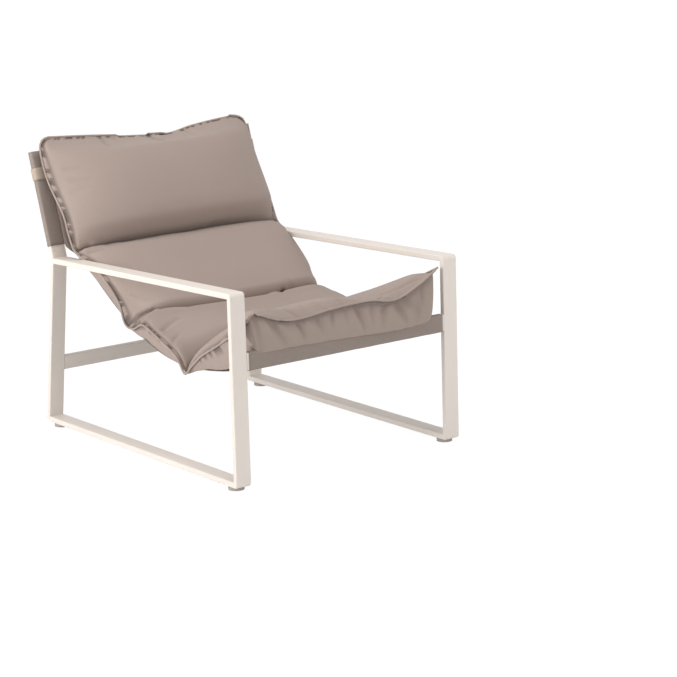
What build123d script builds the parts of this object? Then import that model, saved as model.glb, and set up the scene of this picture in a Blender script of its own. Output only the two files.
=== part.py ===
from build123d import *
import os
from math import atan2, cos, degrees, hypot, radians, sin, tan

os.makedirs("parts", exist_ok=True)

# Low garden armchair: two closed side frames of flat aluminium tube, rails between them,
# a cloth sling hung from the back posts to the front rail, and one long cushion on it.
# Millimetres. X runs across the chair with the sitter's left at +X, the chair faces -Y,
# and Z is up from the floor. The origin is under the middle of the whole chair.

# Side frame
overall_width = 725.0
tube_width = 45.0
tube_thickness = 15.0
tube_wall = 1.8
tube_edge_radius = 2.4
frame_corner_radius = 10.0
base_depth = 924.0
arm_front_height = 500.0
arm_back_height = 471.0
back_leg_lean_in = 66.0
post_rise = 277.0
post_rake = 17.3

# Rails between the side frames
front_rail_height = 45.0
front_rail_lift = 299.0
stretcher_height = 40.0
stretcher_lift = 147.0
top_rail_height = 35.0
top_rail_drop = 3.0

# Rail joints: a block in each rail end, a bolt through the leg, and its cover
block_length = 30.0
block_clearance = 0.2
bolt_shank_radius = 3.0
bolt_reach = 24.0
bolt_head_radius = 4.4
bolt_head_height = 6.0
bolt_clearance = 0.1
bolt_hole_clearance = 0.3
access_hole_radius = 4.7
cover_clearance = 0.1

# Plugs that close the tops of the back posts
plug_flange = 2.0
plug_length = 6.0
plug_clearance = 0.15

# Levelling feet
foot_radius = 21.0
foot_height = 10.0
foot_gap = 0.3
foot_flutes = 24
foot_flute_width = 2.2
foot_flute_depth = 1.2
foot_front_inset = 35.0
foot_back_inset = 45.0
stem_radius = 4.0
stem_rise = 12.2
stem_clearance = 0.05
stem_head_radius = 6.5
stem_head_height = 4.0
insert_radius = 5.6
insert_flange_radius = 7.5
insert_flange_thickness = 0.8
insert_length = 9.5
insert_clearance = 0.1

# Cloth sling
cloth_thickness = 1.2
cloth_clearance = 0.3
hem_lift = 29.0
hem_turn = 40.0
hem_slope = 40.0
loin_depth = 569.0
loin_height = 300.0
dip_depth = 299.0
dip_height = 246.0
seat_cloth_side_gap = 27.5
rail_end_bare = 6.0

# Cushion
head_side_inset = 17.5
cushion_loft = 150.0
cushion_gap = 0.3
head_overhang = 25.0
front_edge_setback = 4.0
shoulder_share = 0.80
under_share = 0.86

# Strap that holds the cushion to the back
strap_height = 33.0
strap_drop = 43.0
strap_thickness = 2.0
strap_clearance = 0.2
strap_hold = 30.0

# Heights below are counted from the underside of the runners, depths from the front
# face of the front legs. These values carry them into the chair's own frame.
inner_half_width = overall_width / 2 - tube_width
leg_mid_x = overall_width / 2 - tube_width / 2
cloth_layer = cloth_clearance + cloth_thickness
arm_back_depth = base_depth - back_leg_lean_in
post_up = (sin(radians(post_rake)), cos(radians(post_rake)))
post_front = (-post_up[1], post_up[0])
post_length = post_rise / post_up[1]
rear_reach = arm_back_depth + post_length * post_up[0] + cloth_layer * post_up[1]
front_y = -(rear_reach - cloth_layer) / 2
leg_span = hypot(back_leg_lean_in, arm_back_height)
leg_up = (-back_leg_lean_in / leg_span, arm_back_height / leg_span)
leg_front = (-leg_up[1], leg_up[0])
cavity_thickness = tube_thickness - 2 * tube_wall
cavity_width = tube_width - 2 * tube_wall


def at(depth, height):
    """A side-view point on the YZ plane."""
    return (front_y + depth, foot_height + height)


def shift(point, direction, distance):
    """A side-view point moved along a side-view direction."""
    return (point[0] + direction[0] * distance, point[1] + direction[1] * distance)


def upright_plane(point, up):
    """Plane square to X whose own Y runs along a post or leg."""
    return Plane(origin=(0, point[0], point[1]), x_dir=(0, up[1], -up[0]), z_dir=(1, 0, 0))


# Side frame loop in side view, its corners, and the same corners drawn inwards
toe = at(0, 0)
arm_nose = at(0, arm_front_height)
arm_heel = at(arm_back_depth, arm_back_height)
heel = at(base_depth, 0)
corners = [toe, arm_nose, arm_heel, heel]


def corner_arms(index):
    """Unit directions from a corner of the loop to the next corner and to the last one."""
    here = Vector(*corners[index])
    ahead = (Vector(*corners[(index + 1) % len(corners)]) - here).normalized()
    behind = (Vector(*corners[index - 1]) - here).normalized()
    return ahead, behind


def inset_corners(amount):
    """Corners of the loop drawn in by a wall or a tube's thickness."""
    drawn = []
    for index, corner in enumerate(corners):
        ahead, behind = corner_arms(index)
        inward = (ahead + behind).normalized()
        half_turn = radians(ahead.get_angle(behind) / 2)
        moved = Vector(*corner) + inward * (amount / sin(half_turn))
        drawn.append((moved.X, moved.Y))
    return drawn


def mitred_run(index):
    """Side-view outline of one tube of the loop, from its mitre at a corner to the next."""
    after = (index + 1) % len(corners)
    drawn = inset_corners(tube_thickness)
    Polygon(corners[index], corners[after], drawn[after], drawn[index], align=None)


with BuildPart() as side_loop:
    with BuildSketch(Plane.YZ.offset(inner_half_width)) as loop_face:
        Polygon(*corners, align=None)
        fillet(loop_face.vertices().sort_by_distance(Vector(*arm_heel))[1:], frame_corner_radius)
        Polygon(*inset_corners(tube_thickness), align=None, mode=Mode.SUBTRACT)
    extrude(amount=tube_width)
    across = side_loop.edges().group_by(Axis.X)
    fillet(across[0] + across[-1], tube_edge_radius)
    with BuildSketch(Plane.YZ.offset(inner_half_width + tube_wall)) as cavity_face:
        Polygon(*inset_corners(tube_wall), align=None)
        inner_radius = frame_corner_radius - tube_wall
        fillet(cavity_face.vertices().sort_by_distance(Vector(*arm_heel))[1:], inner_radius)
        Polygon(*inset_corners(tube_thickness - tube_wall), align=None, mode=Mode.SUBTRACT)
    extrude(amount=cavity_width, mode=Mode.SUBTRACT)

# Joint places in side view, each on the middle line of the leg or post that carries it
front_joint = at(tube_thickness / 2, front_rail_lift + front_rail_height / 2)
stretcher_run = (stretcher_lift + stretcher_height / 2) / leg_up[1]
stretcher_joint = shift(shift(heel, leg_up, stretcher_run), leg_front, tube_thickness / 2)
post_foot = shift(arm_heel, post_front, tube_thickness / 2)
top_joint_run = post_length - top_rail_drop - top_rail_height / 2
top_joint = shift(post_foot, post_up, top_joint_run)

# Front leg, left
with BuildPart() as front_leg:
    add(side_loop.part)
    with BuildSketch(Plane.YZ.offset(inner_half_width)):
        mitred_run(0)
    extrude(amount=tube_width, mode=Mode.INTERSECT)
    with BuildSketch(Plane.YZ.offset(inner_half_width)):
        with Locations(front_joint):
            Circle(bolt_shank_radius + bolt_hole_clearance)
    extrude(amount=tube_wall, mode=Mode.SUBTRACT)
    with BuildSketch(Plane.YZ.offset(overall_width / 2 - tube_wall)):
        with Locations(front_joint):
            Circle(access_hole_radius)
    extrude(amount=tube_wall, mode=Mode.SUBTRACT)

# Armrest, left
with BuildPart() as armrest:
    add(side_loop.part)
    with BuildSketch(Plane.YZ.offset(inner_half_width)):
        mitred_run(1)
    extrude(amount=tube_width, mode=Mode.INTERSECT)

# Back leg, left
with BuildPart() as back_leg:
    add(side_loop.part)
    with BuildSketch(Plane.YZ.offset(inner_half_width)):
        mitred_run(2)
    extrude(amount=tube_width, mode=Mode.INTERSECT)
    with BuildSketch(Plane.YZ.offset(inner_half_width)):
        with Locations(stretcher_joint):
            Circle(bolt_shank_radius + bolt_hole_clearance)
    extrude(amount=tube_wall, mode=Mode.SUBTRACT)
    with BuildSketch(Plane.YZ.offset(overall_width / 2 - tube_wall)):
        with Locations(stretcher_joint):
            Circle(access_hole_radius)
    extrude(amount=tube_wall, mode=Mode.SUBTRACT)

# Runner, left, with a hexagon hole in its lower wall for each foot's insert
foot_depths = [foot_front_inset, base_depth - foot_back_inset]
foot_places = [(leg_mid_x, front_y + depth) for depth in foot_depths]
with BuildPart() as runner:
    add(side_loop.part)
    with BuildSketch(Plane.YZ.offset(inner_half_width)):
        mitred_run(3)
    extrude(amount=tube_width, mode=Mode.INTERSECT)
    with BuildSketch(Plane.XY.offset(foot_height)):
        with Locations(*foot_places):
            RegularPolygon(insert_radius + insert_clearance, 6)
    extrude(amount=tube_wall, mode=Mode.SUBTRACT)

# Back post, left: flat tube raked back, its foot cut to sit on the armrest
post_base_plane = Plane(origin=(leg_mid_x, *post_foot), x_dir=(1, 0, 0), z_dir=(0, *post_up))
arm_run = Vector(*arm_heel) - Vector(*arm_nose)
arm_top_plane = Plane(origin=(0, *arm_heel), x_dir=(1, 0, 0), z_dir=(0, -arm_run.Y, arm_run.X))
with BuildPart() as post:
    with BuildSketch(post_base_plane.offset(-tube_thickness)):
        RectangleRounded(tube_width, tube_thickness, tube_edge_radius)
        Rectangle(cavity_width, cavity_thickness, mode=Mode.SUBTRACT)
    extrude(amount=tube_thickness + post_length)
    split(bisect_by=arm_top_plane, keep=Keep.TOP)
    with BuildSketch(Plane.YZ.offset(inner_half_width)):
        with Locations(top_joint):
            Circle(bolt_shank_radius + bolt_hole_clearance)
    extrude(amount=tube_wall, mode=Mode.SUBTRACT)
    with BuildSketch(Plane.YZ.offset(overall_width / 2 - tube_wall)):
        with Locations(top_joint):
            Circle(access_hole_radius)
    extrude(amount=tube_wall, mode=Mode.SUBTRACT)

side_pieces = {
    "front_leg": front_leg,
    "armrest": armrest,
    "back_leg": back_leg,
    "runner": runner,
    "back_post": post,
}
for name, left_piece in side_pieces.items():
    with BuildPart() as right_piece:
        mirror(left_piece.part, about=Plane.YZ)
    left_piece.part.label = f"{name}_left"
    right_piece.part.label = f"{name}_right"
    export_step(left_piece.part, f"parts/{name}_left.step")
    export_step(right_piece.part, f"parts/{name}_right.step")

# Rails: flat tubes set on edge between the side frames
rails = {
    "front_rail": (upright_plane(front_joint, (0, 1)), front_rail_height),
    "rear_stretcher": (upright_plane(stretcher_joint, leg_up), stretcher_height),
    "top_rail": (upright_plane(top_joint, post_up), top_rail_height),
}
for name, (section_plane, height) in rails.items():
    with BuildPart() as rail:
        with BuildSketch(section_plane):
            RectangleRounded(tube_thickness, height, tube_edge_radius)
            Rectangle(cavity_thickness, height - 2 * tube_wall, mode=Mode.SUBTRACT)
        extrude(amount=inner_half_width, both=True)
    rail.part.label = name
    export_step(rail.part, f"parts/{name}.step")

# Threaded blocks glued into the six rail ends, flush with them
with BuildPart() as rail_end_blocks:
    for section_plane, height in rails.values():
        block_height = height - 2 * tube_wall - block_clearance
        block_thickness = cavity_thickness - block_clearance
        for start in (inner_half_width - block_length, -inner_half_width):
            with BuildSketch(section_plane.offset(start)):
                Rectangle(block_thickness, block_height)
                Circle(bolt_shank_radius + bolt_clearance / 2, mode=Mode.SUBTRACT)
            extrude(amount=block_length)
rail_end_blocks.part.label = "rail_end_blocks"
export_step(rail_end_blocks.part, "parts/rail_end_blocks.step")

# Bolts: heads inside the legs against the inner wall, shanks in the blocks
head_seat = inner_half_width + tube_wall
with BuildPart() as bolts_left:
    with BuildSketch(Plane.YZ.offset(inner_half_width - bolt_reach)):
        with Locations(front_joint, stretcher_joint, top_joint):
            Circle(bolt_shank_radius)
    extrude(amount=bolt_reach + tube_wall)
    with BuildSketch(Plane.YZ.offset(head_seat)):
        with Locations(front_joint, stretcher_joint, top_joint):
            RegularPolygon(bolt_head_radius, 6)
    extrude(amount=bolt_head_height)
with BuildPart() as rail_bolts:
    add(bolts_left.part)
    mirror(bolts_left.part, about=Plane.YZ)
rail_bolts.part.label = "rail_bolts"
export_step(rail_bolts.part, "parts/rail_bolts.step")

# Flush covers that close the holes over the bolts of the two lower rails
with BuildPart() as covers_left:
    with BuildSketch(Plane.YZ.offset(overall_width / 2 - tube_wall)):
        with Locations(front_joint, stretcher_joint):
            Circle(access_hole_radius - cover_clearance)
    extrude(amount=tube_wall)
with BuildPart() as bolt_covers:
    add(covers_left.part)
    mirror(covers_left.part, about=Plane.YZ)
bolt_covers.part.label = "bolt_covers"
export_step(bolt_covers.part, "parts/bolt_covers.step")

# Plastic plugs in the open tops of the back posts
post_top_plane = post_base_plane.offset(post_length)
with BuildPart() as plug_left:
    with BuildSketch(post_top_plane):
        RectangleRounded(tube_width, tube_thickness, tube_edge_radius)
    extrude(amount=plug_flange)
    with BuildSketch(post_top_plane.offset(-plug_length)):
        plug_slack = 2 * plug_clearance
        Rectangle(cavity_width - plug_slack, cavity_thickness - plug_slack)
    extrude(amount=plug_length)
with BuildPart() as post_plugs:
    add(plug_left.part)
    mirror(plug_left.part, about=Plane.YZ)
post_plugs.part.label = "post_plugs"
export_step(post_plugs.part, "parts/post_plugs.step")

# Hexagon threaded inserts pressed into the runners, flanged under the lower wall
corner_places = [(side * x, y) for side in (1, -1) for x, y in foot_places]
with BuildPart() as foot_inserts:
    with BuildSketch(Plane.XY.offset(foot_height - insert_flange_thickness)):
        with Locations(*corner_places):
            RegularPolygon(insert_flange_radius, 6)
    extrude(amount=insert_flange_thickness)
    with BuildSketch(Plane.XY.offset(foot_height)):
        with Locations(*corner_places):
            RegularPolygon(insert_radius, 6)
    extrude(amount=insert_length)
    with BuildSketch(Plane.XY.offset(foot_height - insert_flange_thickness)):
        with Locations(*corner_places):
            Circle(stem_radius + stem_clearance)
    extrude(amount=insert_flange_thickness + insert_length, mode=Mode.SUBTRACT)
foot_inserts.part.label = "foot_inserts"
export_step(foot_inserts.part, "parts/foot_inserts.step")

# Levelling feet: a fluted plastic pad moulded round the head of a threaded steel stem
pad_top = foot_height - foot_gap
pad_floor = pad_top - insert_flange_thickness
stem_foot = pad_floor - stem_head_height
foot_names = ["front_left", "back_left", "front_right", "back_right"]
for name, (foot_x, foot_y) in zip(foot_names, corner_places):
    with BuildPart() as pad:
        with BuildSketch(Plane((foot_x, foot_y, 0))):
            RegularPolygon(foot_radius, foot_flutes)
            with PolarLocations(foot_radius, foot_flutes):
                Rectangle(2 * foot_flute_depth, foot_flute_width, mode=Mode.SUBTRACT)
        extrude(amount=pad_top)
        with BuildSketch(Plane((foot_x, foot_y, pad_floor))):
            RegularPolygon(insert_flange_radius + foot_gap, 6)
        extrude(amount=insert_flange_thickness, mode=Mode.SUBTRACT)
        with BuildSketch(Plane((foot_x, foot_y, stem_foot))):
            RegularPolygon(stem_head_radius + stem_clearance, 6)
        extrude(amount=stem_head_height, mode=Mode.SUBTRACT)
    pad.part.label = f"foot_pad_{name}"
    export_step(pad.part, f"parts/foot_pad_{name}.step")
    with BuildPart() as stem:
        with BuildSketch(Plane((foot_x, foot_y, stem_foot))):
            RegularPolygon(stem_head_radius, 6)
        extrude(amount=stem_head_height)
        with BuildSketch(Plane((foot_x, foot_y, pad_floor))):
            Circle(stem_radius)
        extrude(amount=foot_height + stem_rise - pad_floor)
    stem.part.label = f"foot_stem_{name}"
    export_step(stem.part, f"parts/foot_stem_{name}.step")

# Line that the sling follows in side view, on the sitter's side of the posts: straight
# down the posts, round the hem, then a slack bow to the dip and up to the front rail.
# Each knot is a point and the line's fall towards the front there, in degrees.
post_slope = 90 - post_rake
post_face_foot = shift(arm_heel, post_front, tube_thickness)
hem_run = (hem_lift - tube_thickness * post_front[1]) / post_up[1]
top_knot = shift(post_face_foot, post_up, post_length)
hem_knot = shift(post_face_foot, post_up, hem_run)
turn_slope = radians((post_slope + hem_slope) / 2)
turn_knot = shift(hem_knot, (-cos(turn_slope), -sin(turn_slope)), hem_turn)
loin_knot = at(loin_depth, loin_height)
dip_knot = at(dip_depth, dip_height)
rail_knot = at(tube_thickness, front_rail_lift)
bow_knots = [hem_knot, turn_knot, loin_knot, dip_knot, rail_knot]
bow_slopes = [post_slope]
for start, end in zip(bow_knots, bow_knots[1:]):
    chord = degrees(atan2(start[1] - end[1], start[0] - end[0]))
    bow_slopes.append(2 * chord - bow_slopes[-1])


def raised(knot, slope, gap):
    """A knot moved off the line towards the sitter."""
    return shift(knot, (-sin(radians(slope)), cos(radians(slope))), gap)


def sling_runs(gap, lead):
    """The line at a gap from the posts, started a lead above their tops."""
    start = raised(shift(top_knot, post_up, lead), post_slope, gap)
    points = [raised(knot, slope, gap) for knot, slope in zip(bow_knots, bow_slopes)]
    runs = [Line(start, points[0])]
    for index, slope in enumerate(bow_slopes[:-1]):
        fall = (-cos(radians(slope)), -sin(radians(slope)))
        runs.append(TangentArc(points[index], points[index + 1], tangent=fall))
    return runs


# Sleeves of the sling: round the front rail, round the top rail and round each post
front_sleeve_half = inner_half_width - rail_end_bare
top_sleeve_half = inner_half_width - cloth_layer


def sleeve_ring(width, height):
    """Closed cloth ring round a tube of the given section."""
    outer_radius = tube_edge_radius + cloth_layer
    RectangleRounded(width + 2 * cloth_layer, height + 2 * cloth_layer, outer_radius)
    hole = (width + 2 * cloth_clearance, height + 2 * cloth_clearance)
    Rectangle(*hole, mode=Mode.SUBTRACT)


with BuildPart() as sling_front_sleeve:
    with BuildSketch(upright_plane(front_joint, (0, 1))):
        sleeve_ring(tube_thickness, front_rail_height)
    extrude(amount=front_sleeve_half, both=True)
sling_front_sleeve.part.label = "sling_front_sleeve"
export_step(sling_front_sleeve.part, "parts/sling_front_sleeve.step")

with BuildPart() as sling_top_sleeve:
    with BuildSketch(upright_plane(top_joint, post_up)):
        sleeve_ring(tube_thickness, top_rail_height)
    extrude(amount=top_sleeve_half, both=True)
sling_top_sleeve.part.label = "sling_top_sleeve"
export_step(sling_top_sleeve.part, "parts/sling_top_sleeve.step")

hem_plane = post_base_plane.offset(hem_lift / post_up[1])
sleeve_length = post_length + plug_flange + cloth_clearance - hem_lift / post_up[1]
notch_thickness = tube_thickness + 2 * cloth_clearance
notch_height = top_rail_height + 2 * cloth_clearance
with BuildPart() as post_sleeve:
    with BuildSketch(hem_plane):
        sleeve_ring(tube_width, tube_thickness)
    extrude(amount=sleeve_length)
    with BuildSketch(hem_plane.offset(sleeve_length)):
        outer_radius = tube_edge_radius + cloth_layer
        RectangleRounded(tube_width + 2 * cloth_layer, tube_thickness + 2 * cloth_layer, outer_radius)
    extrude(amount=cloth_thickness)
    with BuildSketch(upright_plane(top_joint, post_up).offset(inner_half_width - cloth_layer)):
        Rectangle(notch_thickness, notch_height)
    extrude(amount=cloth_layer, mode=Mode.SUBTRACT)
with BuildPart() as post_sleeve_right:
    mirror(post_sleeve.part, about=Plane.YZ)
post_sleeve.part.label = "sling_post_sleeve_left"
export_step(post_sleeve.part, "parts/sling_post_sleeve_left.step")
post_sleeve_right.part.label = "sling_post_sleeve_right"
export_step(post_sleeve_right.part, "parts/sling_post_sleeve_right.step")

# Sling panel: one cloth from under the top rail to the front rail, full width between
# the post sleeves and narrower below the hem
panel_lead = -(top_rail_drop + top_rail_height + cloth_layer)
panel_half = inner_half_width + tube_edge_radius
seat_half = inner_half_width - seat_cloth_side_gap
shape_top = foot_height + arm_back_height + post_rise
hem_z = hem_knot[1]
with BuildPart() as sling_panel:
    with BuildSketch(Plane.YZ):
        with BuildLine():
            inner_side = sling_runs(cloth_clearance, panel_lead)
            outer_side = sling_runs(cloth_layer, panel_lead)
            Line(inner_side[0] @ 0, outer_side[0] @ 0)
            Line(inner_side[-1] @ 1, outer_side[-1] @ 1)
        make_face()
    extrude(amount=panel_half, both=True)
    with BuildSketch(Plane.XZ):
        half_shape = [(0, shape_top), (panel_half, shape_top), (panel_half, hem_z)]
        half_shape += [(seat_half, hem_z - hem_turn), (seat_half, foot_height), (0, foot_height)]
        Polygon(*half_shape, align=None)
        mirror(about=Plane.YZ)
    extrude(amount=rear_reach, both=True, mode=Mode.INTERSECT)
    with BuildSketch(upright_plane(front_joint, (0, 1))):
        ring_radius = tube_edge_radius + cloth_layer
        ring_size = (tube_thickness + 2 * cloth_layer, front_rail_height + 2 * cloth_layer)
        RectangleRounded(*ring_size, ring_radius)
    extrude(amount=panel_half, both=True, mode=Mode.SUBTRACT)
    for side in (leg_mid_x, -leg_mid_x):
        sleeve_plane = Plane(origin=(side, *post_foot), x_dir=(1, 0, 0), z_dir=(0, *post_up))
        with BuildSketch(sleeve_plane):
            ring_size = (tube_width + 2 * cloth_layer, tube_thickness + 2 * cloth_layer)
            RectangleRounded(*ring_size, ring_radius)
        extrude(amount=post_length, mode=Mode.SUBTRACT)
sling_panel.part.label = "sling_panel"
export_step(sling_panel.part, "parts/sling_panel.step")

# Cushion: head, lumbar, seat and front roll in one cover with sewn channels between them,
# each lofted through outlines with a crown, two shoulders and sides drawn in to a piped edge
with BuildLine() as bed:
    bed_runs = sling_runs(cloth_layer + cushion_gap, head_overhang)
post_run, turn_run, loin_run, dip_run, rail_run = bed_runs
head_half_width = overall_width / 2 - head_side_inset


def station(run, along_share, tilt):
    """Plane across the cushion on a run of its bed, tilted forward by some degrees."""
    place = run @ along_share
    fall = (run % along_share).rotate(Axis.Z, tilt)
    return Plane(origin=(0, place.X, place.Y), x_dir=(1, 0, 0), z_dir=(0, fall.X, fall.Y))


front_edge = at(front_edge_setback, front_rail_lift + front_rail_height + cloth_layer + cushion_gap)
front_edge_plane = Plane(origin=(0, *front_edge), x_dir=(1, 0, 0), z_dir=(0, -1, 0))

# Each row is a plane across the cushion, the reach of its piped edges to the sitter's right
# and left as shares of the half width, and the heights of the right edge, right shoulder,
# crown, left shoulder and left edge as shares of the loft
hem_seam_shares = (station(post_run, 1, 17), (0.96, 0.96), (0.48, 0.51, 0.50, 0.49, 0.50))
seat_seam_shares = (station(dip_run, 0.13, -5), (0.87, 0.88), (0.20, 0.42, 0.35, 0.40, 0.33))
channel_shares = (station(dip_run, 0.97, -3), (0.87, 0.88), (0.04, 0.16, 0.37, 0.47, 0.48))
section_shares = [
    [
        (station(post_run, 0, 0), (0.95, 0.95), (0.16, 0.20, 0.20, 0.18, 0.12)),
        (station(post_run, 0.06, 0), (1, 0.98), (0.16, 0.34, 0.44, 0.32, 0.10)),
        (station(post_run, 0.30, 0), (1, 1), (0.14, 0.58, 0.82, 0.56, 0.10)),
        (station(post_run, 0.76, 4), (0.99, 0.99), (0.46, 0.86, 1, 0.80, 0.28)),
        (station(post_run, 0.90, 10), (0.98, 0.98), (0.46, 0.76, 0.84, 0.70, 0.38)),
        hem_seam_shares,
    ],
    [
        hem_seam_shares,
        (station(turn_run, 1, 24), (0.95, 0.95), (0.39, 0.64, 0.72, 0.63, 0.44)),
        (station(loin_run, 0.22, 18), (0.90, 0.91), (0.41, 0.69, 0.76, 0.72, 0.52)),
        (station(loin_run, 0.80, 8), (0.88, 0.90), (0.28, 0.61, 0.67, 0.64, 0.40)),
        seat_seam_shares,
    ],
    [
        seat_seam_shares,
        (station(dip_run, 0.35, -8), (0.88, 0.89), (0.41, 0.57, 0.58, 0.58, 0.46)),
        (station(dip_run, 0.80, -4), (0.88, 0.89), (0.28, 0.47, 0.61, 0.63, 0.48)),
        channel_shares,
    ],
    [
        channel_shares,
        (station(rail_run, 0.10, 4), (0.87, 0.88), (0.05, 0.46, 0.72, 0.76, 0.60)),
        (station(rail_run, 0.30, 8), (0.88, 0.88), (0.30, 0.66, 0.90, 0.92, 0.77)),
        (station(rail_run, 0.80, 19), (0.88, 0.88), (0.61, 0.97, 0.98, 1.03, 1.10)),
        (front_edge_plane, (0.87, 0.87), (0.37, 0.40, 0.47, 0.66, 0.84)),
    ],
]

# Strap place: a band square to the posts, open in front between its two sewn ends
strap_foot = shift(post_foot, post_up, post_length - strap_drop - strap_height)
strap_plane = Plane(origin=(0, *strap_foot), x_dir=(1, 0, 0), z_dir=(0, *post_up))
strap_reach = cloth_layer + strap_clearance
strap_open_width = 2 * (inner_half_width - strap_hold)

# What the cushion makes room for: the front sleeve under it and the strap behind it
with BuildPart() as cushion_rest:
    with BuildSketch(upright_plane(front_joint, (0, 1))):
        rest = 2 * (cloth_layer + cushion_gap)
        Rectangle(tube_thickness + rest, front_rail_height + rest)
    extrude(amount=overall_width, both=True)
    with BuildSketch(strap_plane.offset(-cushion_gap)):
        strap_layers = 2 * (strap_reach + strap_thickness + cushion_gap)
        Rectangle(overall_width + strap_layers, tube_thickness + strap_layers)
        Rectangle(strap_open_width - 2 * cushion_gap, head_half_width, mode=Mode.SUBTRACT)
    extrude(amount=strap_height + 2 * cushion_gap)

with BuildPart() as cushion:
    for rows in section_shares:
        for section_plane, reach_shares, height_shares in rows:
            right = -head_half_width * reach_shares[0]
            left = head_half_width * reach_shares[1]
            places = (right, right * shoulder_share, 0, left * shoulder_share, left)
            heights = [cushion_loft * share for share in height_shares]
            with BuildSketch(section_plane):
                with BuildLine():
                    back = Spline(*zip(places, heights))
                    Line(back @ 1, (left * under_share, 0))
                    Line((left * under_share, 0), (right * under_share, 0))
                    Line((right * under_share, 0), back @ 0)
                make_face()
        loft(ruled=True)
    add(cushion_rest.part, mode=Mode.SUBTRACT)
cushion.part.label = "cushion"
export_step(cushion.part, "parts/cushion.step")

# Elastic strap: both ends are sewn to the cushion's back, and it runs round the outside
# of the sleeved posts and straight across behind them
with BuildPart() as cushion_strap:
    with BuildSketch(strap_plane):
        loop_size = (overall_width + 2 * strap_reach, tube_thickness + 2 * strap_reach)
        loop_radius = tube_edge_radius + strap_reach
        band_size = (loop_size[0] + 2 * strap_thickness, loop_size[1] + 2 * strap_thickness)
        RectangleRounded(*band_size, loop_radius + strap_thickness)
        Rectangle(*loop_size, mode=Mode.SUBTRACT)
        with Locations((0, -band_size[1] / 2)):
            Rectangle(strap_open_width, band_size[1], mode=Mode.SUBTRACT)
    extrude(amount=strap_height)
cushion_strap.part.label = "cushion_strap"
export_step(cushion_strap.part, "parts/cushion_strap.step")
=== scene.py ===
import math

import bmesh
import bpy
from mathutils import Matrix, Vector, noise


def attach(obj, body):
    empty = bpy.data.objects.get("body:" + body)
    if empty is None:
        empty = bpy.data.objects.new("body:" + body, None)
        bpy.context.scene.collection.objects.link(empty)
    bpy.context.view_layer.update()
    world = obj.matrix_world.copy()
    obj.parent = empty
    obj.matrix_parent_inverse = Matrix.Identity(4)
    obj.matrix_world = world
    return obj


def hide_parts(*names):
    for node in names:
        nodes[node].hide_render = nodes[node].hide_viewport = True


# Low garden armchair with a cloth sling and one long cushion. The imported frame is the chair
# at rest, in metres: X to the sitter's left, the front towards -Y, Z up from the floor.
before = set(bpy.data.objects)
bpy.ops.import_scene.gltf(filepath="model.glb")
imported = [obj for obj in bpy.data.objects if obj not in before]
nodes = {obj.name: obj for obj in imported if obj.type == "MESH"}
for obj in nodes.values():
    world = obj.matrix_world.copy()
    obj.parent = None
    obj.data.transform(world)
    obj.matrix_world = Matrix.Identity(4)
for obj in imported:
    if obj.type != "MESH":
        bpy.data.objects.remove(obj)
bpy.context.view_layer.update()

# Camera: a long lens at the photograph's place, looking from the front and the sitter's
# right, a little above the arms and very slightly tilted.
camera_place = (-3.81754, -5.516514, 1.79813)
camera_yaw = -36.890
camera_fall = 12.969
camera_tilt = -1.592
camera_data = bpy.data.cameras.new("camera")
camera_data.lens = 134.90
camera_data.sensor_width = 36
camera = bpy.data.objects.new("camera", camera_data)
camera.matrix_world = (
    Matrix.Translation(camera_place)
    @ Matrix.Rotation(math.radians(camera_yaw), 4, "Z")
    @ Matrix.Rotation(math.radians(90 - camera_fall), 4, "X")
    @ Matrix.Rotation(math.radians(camera_tilt), 4, "Z")
)
bpy.context.scene.collection.objects.link(camera)
bpy.context.scene.camera = camera
bpy.context.scene.view_settings.view_transform = "Standard"

# Studio floor: one plain pale sheet that shows nearly white and keeps a soft shadow of
# the chair, and a plain white surround behind it.


def material(name):
    """A new node material, its node list and a function that joins two sockets."""
    made = bpy.data.materials.new(name)
    made.use_nodes = True
    tree = made.node_tree
    return made, tree.nodes, tree.links.new


def placed(tree_nodes, kind, settings=None, operation=None, data_type=None):
    """A new node of a material, with the values of its sockets."""
    made = tree_nodes.new(kind)
    if operation:
        made.operation = operation
    if data_type:
        made.data_type = data_type
    for socket_name, value in (settings or {}).items():
        made.inputs[socket_name].default_value = value
    return made


def linked(mesh, name):
    """An object for a mesh, standing in the scene."""
    made = bpy.data.objects.new(name, mesh)
    bpy.context.scene.collection.objects.link(made)
    return made


def seen_ray(tree_nodes, join):
    """A socket that is 1 for rays from the camera, also where they are mirrored or pass through."""
    ray = tree_nodes.new("ShaderNodeLightPath")
    found = ray.outputs["Is Camera Ray"]
    for kind in ("Is Glossy Ray", "Is Transmission Ray"):
        either = placed(tree_nodes, "ShaderNodeMath", operation="MAXIMUM")
        join(found, either.inputs[0])
        join(ray.outputs[kind], either.inputs[1])
        found = either.outputs[0]
    return found


floor_half = 12.0
floor_form = bmesh.new()
bmesh.ops.create_grid(floor_form, x_segments=1, y_segments=1, size=floor_half)
floor_mesh = bpy.data.meshes.new("studio_floor")
floor_form.to_mesh(floor_mesh)
floor_form.free()
floor = linked(floor_mesh, "studio_floor")
floor_paint, floor_nodes, join = material("floor_paint")
floor_nodes.clear()
plain = placed(floor_nodes, "ShaderNodeBsdfDiffuse", {"Color": (0.86, 0.86, 0.86, 1)})
lit = placed(floor_nodes, "ShaderNodeEmission", {"Strength": 1.11})
shown = placed(floor_nodes, "ShaderNodeMixShader", {"Fac": 0.86})
chosen = floor_nodes.new("ShaderNodeMixShader")
surface = floor_nodes.new("ShaderNodeOutputMaterial")
join(plain.outputs[0], shown.inputs[1])
join(lit.outputs[0], shown.inputs[2])
join(seen_ray(floor_nodes, join), chosen.inputs["Fac"])
join(plain.outputs[0], chosen.inputs[1])
join(shown.outputs[0], chosen.inputs[2])
join(chosen.outputs[0], surface.inputs["Surface"])
floor_mesh.materials.append(floor_paint)

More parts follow.
